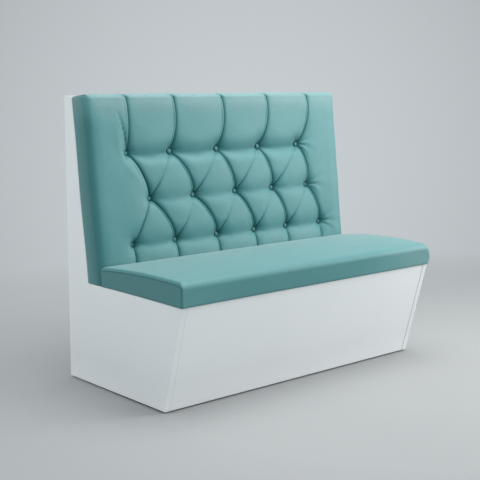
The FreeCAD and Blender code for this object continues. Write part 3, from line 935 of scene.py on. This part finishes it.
def back_box(one, two):
    """The pad before it is buttoned, in its own coordinates, with its side and hem shares."""
    box = (-half_pad, right_end, 0.0, top_rise)
    rolls = (left_roll, right_roll, foot_roll, top_roll)
    x, rise, fall, side, under = wrapped(one, two, box, rolls, back_square)
    out = front_out - fall
    out = out + (rear_out - out) * side
    drawn_in = back_waist * (1.0 - ((rise - face_centre) / half_face) ** 2)
    drawn_in = drawn_in + foot_waist * eased((foot_waist_rise - rise) / foot_waist_rise)
    more_left = left_waist * eased((rise - left_waist_rise) / left_waist_rise)
    drawn_in = np.where(x > 0.0, right_waist_share * drawn_in, drawn_in + more_left)
    return np.stack([x * (1.0 - drawn_in / half_pad), out, rise], axis=-1), side, under


def nearest_button(u, v):
    """How far each point is from its nearest button, and how much to the left of it."""
    across = np.array([u - place.x for place in button_places])
    reaches = np.hypot(across, np.array([v - place.z for place in button_places]))
    nearest = reaches.argmin(axis=0)[None]
    reach = reaches.min(axis=0)
    return reach, -np.take_along_axis(across, nearest, axis=0)[0] / np.maximum(reach, 1e-6)


def corner_seam(one, two):
    """The closed seam along the top of each side, where the cover is folded round."""
    past_one, past_two, stage = past_flat(one, np.maximum(two, 0.0))
    off = (past_one - past_two) / np.maximum(stage, 1e-9) * seam_turn
    start, end = eased((stage - 0.35) / 0.4), eased((2.9 - stage) / 0.5)
    return bell(off, corner_seam_width) * start * end


def hollows(u, v, below=1.0):
    """How far the stuffing has slumped above each row of buttons, and below it."""
    total = 0.0
    for row, sag, _, slump in row_valleys:
        share = within((u - row[0].x) / (row[-1].x - row[0].x))
        off = v - (row[0].z - sag * arch(share * (len(row) - 1) % 1.0))
        above = off >= 0.0
        near = bell(off, np.where(above, slump_above, slump_below)) * np.where(above, 1.0, below)
        ends = eased((u - row[0].x + slump_past) / slump_first)
        ends = ends * eased((row[-1].x + slump_past - u) / slump_last)
        total = total + slump * near * ends
    return total


def ridge(u, v):
    """The raised edge of the smooth margin, round the first button and its fold."""
    line = np.interp(v, ridge_levels, ridge_places)
    start, end = eased((v - ridge_foot) / ridge_fade), eased((ridge_head - v) / ridge_fade)
    return ridge_height * bell(u - line, ridge_width) * start * end


def margin(u, v):
    """How far a point is from the nearest edge of the face."""
    return np.minimum(half_pad - np.abs(u), np.minimum(v, top_rise - v))


def wander(u, v):
    """The slight unevenness of stuffing under a hand-drawn cover, and its short creases."""
    wide = np.sin(13.0 * u + 3.1 * np.sin(9.0 * v))
    wide = wide * np.sin(17.0 * v + 1.3 * np.sin(11.0 * u + 0.7))
    fine = np.sin(41.0 * u + 2.0 * np.sin(23.0 * v + 1.1)) * np.sin(37.0 * v + 0.6)
    rays = 0.0
    for row in button_rows:
        for place in row:
            facing, length, share = last_rays if place is row[-1] else other_rays
            turn = np.arctan2(v - place.z, u - place.x)
            reach = np.hypot(u - place.x, v - place.z)
            spread = eased(1.6 * np.cos(turn - facing) - 0.5)
            near = eased((reach - ray_start) / ray_start) * np.exp(-reach / length)
            bent = 9.0 * turn + 40.0 * reach + 5.0 * place.x + 11.0 * place.z
            rays = rays + share * near * np.cos(bent) * spread
    return wide_wander * wide + fine_wander * fine + ray_depth * rays


def back_depths(one, two, u, v, reach):
    """How far each point of the cover is pulled in, and how much of that is crease."""
    every = folds()
    pins = np.vstack([fold.pins() for fold in every] + valley_pins() + button_pins())
    low, high = np.array((-sheet_end, sheet_foot)), np.array((sheet_end, pattern_top + sheet_spare))
    sheet = stretched_sheet(low, high, pins)
    crease = sum(fold.pressed(u, v) for fold in every) + corner_crease * corner_seam(one, two)
    sink = between(sheet, (np.stack([u, v], axis=-1) - low) / sheet_cell) + crease
    sink = sink + hollows(u, v) + wander(u, v) - ridge(u, v)
    sink = sink - puff * eased(margin(u, v) / puff_margin)
    sink = sink + (button_seat - sink) * close_to(reach, seat_reach, seat_fade)
    return np.minimum(sink, deepest), crease


def back_moves(places, side, crease, reach, edge):
    """The movement of the cover as cloth, held along its folds, buttons and edges."""
    held = np.maximum(within(crease / held_crease), close_to(reach, *held_reach))
    held = np.maximum(held, np.maximum(side > 0.0, close_to(edge, *held_edge)))
    still = np.maximum(side > 0.0, close_to(reach, *still_reach))
    columns, rows = (np.arange(count) for count in held.shape)
    coarse = np.ix_(columns[::coarse_column], rows[::coarse_row])
    ways = columns / coarse_column, rows / coarse_row
    return pressed_out(places[coarse], held[coarse], back_swell, *ways) * (1.0 - still)[..., None]


def back_shade(u, v, sink, crease, reach, leftward):
    """Painted shade deep in folds, hollows and down the left edge; painted highlight on top."""
    shade = within(crease / 0.0085) * crease_dark + within((sink - 0.009) / 0.025) * sunk_dark
    shade = shade + hollow_dark * hollows(u, v, below=0.0)
    shade = shade * (1.0 - lit_share * bell(reach, 0.015) * eased(0.45 + 0.6 * leftward))
    # Painted highlight on the top edge and on the crests, left out where the painted shade lies
    painted_highlight = top_highlight * eased((v - face_rise + 0.105) / 0.11)
    proud = crest_highlight * eased((0.012 - sink) / 0.01) * eased((u - upper[0].x + 0.02) / 0.05)
    painted_highlight = np.maximum(painted_highlight, proud) * (1.0 - within(shade / 0.25))
    # A band of painted shade down the left edge
    past = u - (left_roll - half_pad) + 0.034
    band = band_dark * bell(past, np.where(past > 0.0, 0.045, 0.04))
    return np.clip(shade - painted_highlight + band, -1.0, 1.0)


def back_step(at, grow, out):
    """The next point of the pad's inside: grown outwards from the last one, then moved out."""
    place = upright(at)
    centre, wide, tall = top_rise / 2, half_pad - hem, top_rise / 2 - hem
    x = place.x * (wide + grow) / wide
    return leaned(x, out, centre + (place.z - centre) * (tall + grow) / tall)


def back_cover():
    """The deep-buttoned cover, with its wadding, drawn over foam and board."""
    one, two, u, v = back_pattern()
    base, side, under = back_box(one, two)
    reach, leftward = nearest_button(u, v)
    sink, crease = back_depths(one, two, u, v, reach)
    outward = -grid_normals(base)
    calm = (1.0 - side) * (1.0 - eased((calm_rise - v) / calm_fade) * (sink < 0))
    pull = sink * np.where(under > 0, 0.0, calm) + side_crease * crease * side
    places = base - outward * pull[..., None]
    places = places + back_moves(places, side, crease, reach, margin(u, v))
    foot = close_to(places[..., 2], 0.0, foot_fade)
    places[..., 2] += foot * (foot_out - places[..., 1] * lean)
    room = np.array(slope_foot) + places @ np.array((along, off_slope, up_slope))
    shade = back_shade(u, v, sink, crease, reach, leftward)
    moves = ((0.0, board_out), (hem - wall, board_out), (0.0, foam_out))
    made = cover("back_pad_cover", room, shade, "back_pad", back_step, moves)
    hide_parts("back_cover")


# Turned pieces: the buttons, and the heads of screws


def heads(name, feet, axis, profile, turns, body, material, slot):
    """Heads on one piece, turned to one profile: pairs of radius and height over a foot."""
    mesh = bmesh.new()
    axis = Vector(axis).normalized()
    side = axis.orthogonal().normalized()
    for foot in feet:
        start = [mesh.verts.new(foot + side * radius + axis * up) for radius, up in profile]
        rim = [mesh.edges.new(pair) for pair in zip(start, start[1:])]
        ways = {"cent": foot, "axis": axis, "angle": 2 * math.pi, "steps": turns}
        bmesh.ops.spin(mesh, geom=start + rim, use_merge=True, use_duplicate=False, **ways)
    bmesh.ops.remove_doubles(mesh, verts=mesh.verts, dist=1e-6)
    bmesh.ops.recalc_face_normals(mesh, faces=mesh.faces)
    return piece(name, mesh, body, material)


button_profile = (
    *((0.0, 0.0002), (0.0068, 0.0002), (0.0086, 0.0012), (0.009, 0.003)),
    *((0.0085, 0.0046), (0.0066, 0.0059), (0.0036, 0.0066), (0.0, 0.0068)),
)
button_drop, button_crown, button_turns = 0.0035, 0.006, 40


def covered_buttons():
    """Domed buttons, their vinyl drawn round the rim, with painted shade that grows darker towards
    it.
    """
    out = min(place.y for place in button_places) - button_drop
    feet = [leaned(place.x, out, place.z) for place in button_places]
    turned = (off_slope, button_profile, button_turns)
    made = heads("covered_buttons", feet, *turned, "back_pad", teal, "vinyl")
    heights = [upright(vert.co).y - out for vert in made.data.vertices]
    # Painted shade, darker towards the rim of each button
    paint(made, "fold", [0.75 - 0.2 * min(1.0, height / button_crown) for height in heights])
    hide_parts("back_buttons")


# Seat pad: one long panel over its top and front, two side panels sewn to it

seat_left_roll, seat_right_roll, seat_front_roll, seat_rear_roll = 0.012, 0.032, 0.026, 0.016
seat_square = 0.4
seat_front_thickness, seat_rear_thickness = 0.084, 0.07
seat_crown, seat_left_crown, seat_right_crown = 0.0045, 0.006, 0.013
seat_waist, seat_rear_waist, right_bulge = 0.004, 0.005, 0.006
hem_thickness, lining_height = 0.0016, 0.052
seat_swell = 0.003
seat_base = [v.co for v in nodes["seat_cover"].data.vertices if v.co.z < seat_low.z + 0.0005]
seat_rear = max(place.y for place in seat_base)
middle_y, half_y = (seat_low.y + seat_rear) / 2, (seat_rear - seat_low.y) / 2
crown_past, roll_stretch, side_drop, right_waist = 0.008, 1.6, 0.058, 0.5
seam_depth, seam_width = 0.0014, 0.0012
seam_lip, lip_from_seam, seam_lip_width = 0.0006, 0.0032, 0.0016
# How dark the painted shade is on the middle of the front, how strong the painted highlight is at
# its right end, and how dark the painted shade is on the left side and in the seam
front_dark, front_highlight, side_dark, seam_dark = 0.3, 0.45, 0.34, 0.95
fine_columns, fine_rows, cloth_columns, cloth_rows = 161, 57, 131, 51
cloth_stages = np.array([0.5, 1.0, 1.17, 1.34, 1.5, 1.66, 1.83, 2.0, 2.5, 3.0])


def seat_top(x, y):
    """The height of the seat's top panel, crowned along and across."""
    front, rear = seat_low.y + seat_front_roll, seat_rear - seat_rear_roll + crown_past
    share = within((y - front) / (rear - front))
    thick = seat_front_thickness + (seat_rear_thickness - seat_front_thickness) * share
    end = x / half_pad
    crown = seat_crown * (1.0 - end * end) + seat_left_crown
    crown = crown + (seat_right_crown - seat_left_crown) * (1.0 + end) / 2
    return seat_low.z + thick + crown * arch(share)


def both_ways(past, count):
    """Stages across a whole pad: the flat of its face, and those past it at either end."""
    return np.concatenate([-1 - past[::-1], np.linspace(-1, 1, count), 1 + past])


def seat_seam(one, two):
    """How far a point is from the seam between the long panel and a side panel."""
    past_one, past_two, stage = past_flat(one, two)
    below = stage - 1.0
    down = below * np.where(below < 0, seat_left_roll * roll_stretch, side_drop)
    corner = (1.0 - np.minimum(past_one, past_two) / np.maximum(stage, 1e-9)) * seam_turn
    on_side = np.where(past_one >= past_two, np.abs(down), np.inf)
    return np.minimum(on_side, np.hypot(corner, np.minimum(down, 0.0)))


def seat_form(across, deep):
    """The seat's cover before it is sewn: its places, hem share and distance from a seam."""
    one, two = np.meshgrid(across, deep, indexing="ij")
    box = (-half_pad, right_end, seat_low.y, seat_rear)
    rolls = (seat_left_roll, seat_right_roll, seat_front_roll, seat_rear_roll)
    x, y, fall, side, under = wrapped(one, two, box, rolls, seat_square)
    rearward = (y - middle_y) / half_y
    z = seat_top(x, y) - fall
    z = z + (seat_low.z - z) * side
    y = y + lean * (z - seat_low.z) * within(rearward)
    rearward = (y - middle_y) / half_y
    drawn_in = seat_waist * (1.0 - rearward**2) + seat_rear_waist * eased(0.5 + 0.5 * rearward)
    bulge = right_bulge * (np.sin(np.pi * side) - eased((side - 0.5) / 0.5))
    drawn_in = np.where(x > 0.0, right_waist * drawn_in - bulge, drawn_in)
    places = np.stack([x * (1.0 - drawn_in / half_pad), y, z], axis=-1)
    return places, under, seat_seam(one, two)


def seat_moves(across, deep):
    """The movement of the seat's cover as cloth, held along its seams and hem."""
    wide, long = both_ways(cloth_stages, cloth_columns), both_ways(cloth_stages, cloth_rows)
    places, under, seam = seat_form(wide, long)
    held = np.maximum(bell(seam, 0.006), under > 0.0)
    columns = np.interp(across, wide, np.arange(len(wide)))
    rows = np.interp(deep, long, np.arange(len(long)))
    return pressed_out(places, held, seat_swell, columns, rows)


def seat_shade(across, deep):
    """Painted shade on the left side and the middle of the front, painted highlight at its right
    end.
    """
    one, two = np.meshgrid(across, deep, indexing="ij")
    front = eased((-two - 1.0) / 0.6)
    run = front_dark * (1.0 - np.clip(one, -1.0, 1.0) ** 2)
    run = run - front_highlight * eased((one - 0.3) / 0.7)
    return front * run * (one > -1.4) + side_dark * eased((-one - 1.0) / 0.6)


def seat_step(at, grow, lift):
    """The next point of the seat's inside: grown outwards from the last one, or lifted."""
    wide, deep = half_pad - hem, half_y - hem
    y = middle_y + (at.y - middle_y) * (deep + grow) / deep
    return Vector((at.x * (wide + grow) / wide, y + lean * lift * (at.y > middle_y), at.z + lift))


def seat_cover():
    """The cover of the seat, with its wadding, drawn over foam and board."""
    part = steps(14)
    past = np.concatenate([1 - (1 - part) ** 1.5, 1 + part**1.6, 2 + part[::4]])
    across, deep = both_ways(past, fine_columns), both_ways(past, fine_rows)
    base, under, seam = seat_form(across, deep)
    hold = 1.0 - under
    base = base + seat_moves(across, deep) * hold[..., None]
    sewn = seam_depth * bell(seam, seam_width)
    sewn = sewn - seam_lip * bell(seam - lip_from_seam, seam_lip_width)
    places = base - grid_normals(base) * (sewn * hold)[..., None]
    # Painted shade in the seam groove, added to the seat's painted shade and highlight
    shade = within(sewn * hold / seam_depth) * seam_dark + seat_shade(across, deep)
    moves = ((0.0, hem_thickness), (hem - wall, 0.0), (0.0, lining_height))
    made = cover("seat_pad_cover", places, shade, "seat_pad", seat_step, moves)
    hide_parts("seat_cover")


def foam_block(name, node, body):
    """Cut foam, its arrises slightly rounded by wear."""
    mesh = bmesh.new()
    mesh.from_mesh(nodes[node].data)
    bmesh.ops.remove_doubles(mesh, verts=mesh.verts, dist=1e-5)
    bmesh.ops.dissolve_limit(mesh, angle_limit=0.01, verts=mesh.verts, edges=mesh.edges)
    sharp = [e for e in mesh.edges if e.is_manifold and e.calc_face_angle(0) > 0.4]
    bmesh.ops.bevel(
        mesh, geom=sharp, affect="EDGES", offset=0.0015, segments=2, profile=0.5, material=-1
    )
    made = piece(name, mesh, body, foam, smooth=False)
    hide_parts(node)


back_cover()
covered_buttons()
seat_cover()
foam_block("back_pad_foam", "back_foam", "back_pad")
foam_block("seat_pad_foam", "seat_foam", "seat_pad")


# Small fixings: flush socket screws and the staples that hold the hems

screw_profile = (
    *((0.0, -0.003), (0.0042, -0.003), (0.0042, -0.0005), (0.0038, 0.00015)),
    *((0.0017, 0.0001), (0.0013, -0.0014), (0.0, -0.0014)),
)
deck_screw_reach, screw_inset, lowest_screw = 0.54, 0.009, 0.05
staple_size, staple_gap, staple_inset = (0.01, 0.0012, 0.0005), 0.042, 0.021


def spread(start, end, count):
    """Places in line from one point to another, both included."""
    return [Vector(start).lerp(Vector(end), k / (count - 1)) for k in range(count)]


def screws(name, feet, facing):
    """Flush screws through a board of the carcass."""
    heads(name, feet, facing, screw_profile, 16, "carcass", steel, "foot_steel")


def deck_screws():
    """Two rows of screws that hold the seat deck down on its rails."""
    feet = []
    for rail in ("seat_rail_front", "seat_rail_rear"):
        y = sum(corner.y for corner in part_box(rail)) / 2
        feet += spread((-deck_screw_reach, y, deck_high.z), (deck_screw_reach, y, deck_high.z), 8)
    screws("deck_screws", feet, (0, 0, 1))


def rear_screws():
    """Screws round the rear panel, into the edges of the end panels and the cap."""
    low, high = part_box("rear_panel")
    left, right = low.x + screw_inset, high.x - screw_inset
    foot, top = low.z + lowest_screw, high.z - screw_inset
    feet = spread((left, high.y, top), (right, high.y, top), 7)[1:-1]
    for x in (left, right):
        feet += spread((x, high.y, foot), (x, high.y, top), 5)
    screws("rear_panel_screws", feet, (0, 1, 0))


def staples(name, corners, facing, body):
    """A line of staples along each side of a hem, given by its four corners."""
    mesh = bmesh.new()
    for start, end in zip(corners, corners[1:] + corners[:1]):
        run = end - start
        count = max(3, round(run.length / staple_gap))
        away = facing.cross(run).normalized()
        turn = Matrix((run.normalized(), away, facing)).transposed().to_4x4()
        for place in spread(start + run * 0.02, end - run * 0.02, count):
            matrix = Matrix.Translation(place) @ turn @ Matrix.Diagonal((*staple_size, 1.0))
            bmesh.ops.create_cube(mesh, size=1.0, matrix=matrix)
    bmesh.ops.recalc_face_normals(mesh, faces=mesh.faces)
    piece(name, mesh, body, steel, smooth=False)


def hem_staples():
    """Staples through both hems: under the seat's board, and behind the back pad's board."""
    x = half_pad - staple_inset

    def round_hem(low, high):
        low, high = low + staple_inset, high - staple_inset
        return (-x, low), (x, low), (x, high), (-x, high)

    seat = [Vector((*corner, seat_low.z)) for corner in round_hem(seat_low.y, seat_rear)]
    back = [leaned(across, rear_out, rise) for across, rise in round_hem(0.0, top_rise)]
    staples("seat_hem_staples", seat, Vector((0, 0, -1)), "seat_pad")
    staples("back_hem_staples", back, -off_slope, "back_pad")


deck_screws()
rear_screws()
hem_staples()


# Floor, light and camera

floor_radius, floor_middle = 9.0, (0.45, -0.35, 0.0)
backdrop_tone = colour(0.53, 0.57, 0.59)
view_middle = (0.664, 0.742, -0.08)
middle_glow, edge_glow, studio_glow = 1.08, 0.74, 1.35

white, warm_white = (1.0, 1.0, 1.0), (1.0, 1.0, 0.99)

# Each lamp: its place, what it points at, its width, its power in watts and its tint
lamps = {
    "overhead": ((0.2, -0.3, 3.2), (0, 0, 0.5), 2.4, 60.0, warm_white),
    "right_top": ((2.2, -2.4, 3.4), (0, 0, 0.5), 1.6, 32.0, warm_white),
    "over_right": ((0.9, -0.5, 2.0), (0.2, 0, 0.5), 1.2, 10.0, white),
    "low_right": ((2.2, -1.5, 1.2), (0.4, 0, 0.5), 1.0, 24.0, warm_white),
    "left_high": ((-3.2, 0.4, 2.7), (0, 0, 0.3), 2.0, 6.0, white),
}

# The photograph's viewpoint, solved from the edges of the end panels and the pads. Angles
# are radians, and the focal length is given in pixels of its width.
camera_place = (-2.5674, -2.82689, 1.09083)
camera_turn, camera_tip, camera_roll = -0.72182, 0.15501, 0.00179
focal_pixels, photo_width, sensor_width = 1011.70163, 480.0, 36.0


def studio_floor():
    """A wide pale floor, painted lighter towards the left, that fades into the backdrop."""
    mesh = bmesh.new()
    bmesh.ops.create_circle(mesh, cap_ends=True, radius=floor_radius, segments=96)
    floor = meshed("studio_floor", mesh)
    ground = Finish("pale_floor")
    clouds = ground.noise(1.4, 3.0, 0.5)
    # Painted light: the floor's tone is painted lighter towards the left
    leftward = (0.5 - ground.axis("X") * 0.4).clamped()
    tones = colour(0.295, 0.301, 0.304), colour(0.375, 0.382, 0.386)
    shade = ground.blend(clouds * 0.3 + leftward * 0.7, *tones)
    inputs = {"Base Color": shade, "Roughness": 0.75, "Specular IOR Level": 0.3}
    lit = ground.node("ShaderNodeBsdfPrincipled", {}, inputs)
    beyond = ground.node("ShaderNodeBsdfTransparent", {}, {})
    away = ground.vectors("DISTANCE", ground.place, floor_middle)
    share = ((away - 1.1) * 0.6).clamped()
    mixed = ground.node("ShaderNodeMixShader", {}, {0: share, 1: lit, 2: beyond})
    floor.data.materials.append(ground.shown(mixed))


def backdrop():
    """A pale studio, lit all round but dimmer on the side that the camera looks at."""
    world = bpy.data.worlds.new("studio")
    world.use_nodes = True
    studio = Recipe(world.node_tree)
    way = studio.node("ShaderNodeTexCoord", {}, {}, "Generated")
    toward = studio.vectors("DOT_PRODUCT", way, view_middle)

    def ranged(near, far, start, end):
        ends = {"From Min": near, "From Max": far, "To Min": start, "To Max": end}
        return studio.node("ShaderNodeMapRange", {}, {"Value": toward, **ends}, "Result")

    glow = ranged(1.0, 0.94, middle_glow, edge_glow)
    glow = glow + ranged(0.92, 0.75, 0.0, studio_glow - edge_glow)
    shade = world.node_tree.nodes["Background"]
    shade.inputs["Color"].default_value = backdrop_tone
    world.node_tree.links.new(glow.socket, shade.inputs["Strength"])
    scene.world = world


def soft_light(name, place, target, size, power, tint):
    """A square lamp that gives soft shadows."""
    lamp = bpy.data.lights.new(name, "AREA")
    lamp.shape = "RECTANGLE"
    lamp.size = lamp.size_y = size
    lamp.energy = power
    lamp.color = tint
    aim = (Vector(target) - Vector(place)).to_track_quat("-Z", "Y").to_matrix().to_4x4()
    placed(name, lamp).matrix_world = Matrix.Translation(place) @ aim


def photo_camera():
    """A camera that stands where the photograph was taken."""
    lens = bpy.data.cameras.new("photo_camera")
    lens.sensor_width = sensor_width
    lens.lens = sensor_width * focal_pixels / photo_width
    holder = placed("photo_camera", lens)
    swing = Matrix.Rotation(camera_turn, 4, "Z")
    nod = Matrix.Rotation(math.pi / 2 - camera_tip, 4, "X")
    roll = Matrix.Rotation(camera_roll, 4, "Z")
    holder.matrix_world = Matrix.Translation(camera_place) @ swing @ nod @ roll
    scene.camera = holder


studio_floor()
backdrop()
for name, settings in lamps.items():
    soft_light(name, *settings)
photo_camera()
scene.view_settings.view_transform = "Standard"
